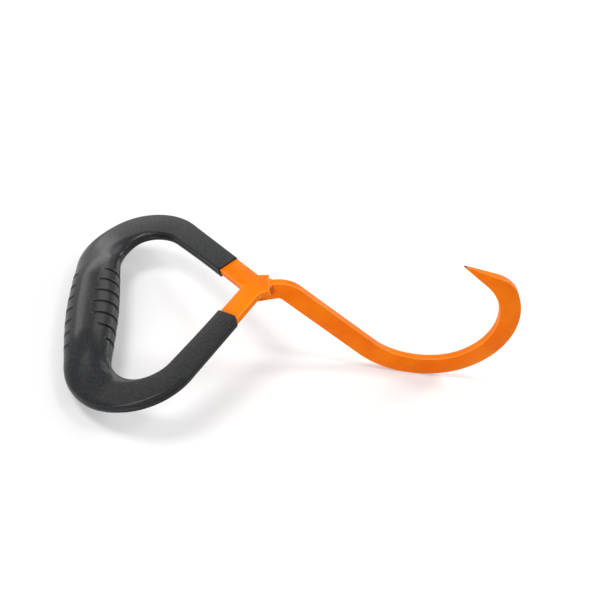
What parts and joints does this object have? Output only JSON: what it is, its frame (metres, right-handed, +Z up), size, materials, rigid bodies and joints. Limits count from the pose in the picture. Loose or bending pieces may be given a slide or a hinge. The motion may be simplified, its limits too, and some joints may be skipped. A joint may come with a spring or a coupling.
{
  "type": "pickaroon (hand log hook)",
  "caption": "Orange steel hand hook for logs with a closed D-shaped handle and a black plastic grip.",
  "frame": {"origin": "middle of the overall box, on the floor under the resting hook", "axes": "+X from the grip towards the hook's throat, +Z up, +Y towards the arm that is far from the camera"},
  "size_m": [0.3109, 0.1856, 0.1057],
  "materials": {
    "frame_paint": "satin",
    "hook_paint": "satin",
    "weld_paint": "satin",
    "grip_plastic": "matte"
  },
  "bodies": {
    "root": {"handle_frame": "frame_paint", "hook": "hook_paint", "weld_near": "weld_paint", "weld_far": "weld_paint", "grip_upper_shell": "grip_plastic", "grip_lower_shell": "grip_plastic"}
  },
  "joints": []
}
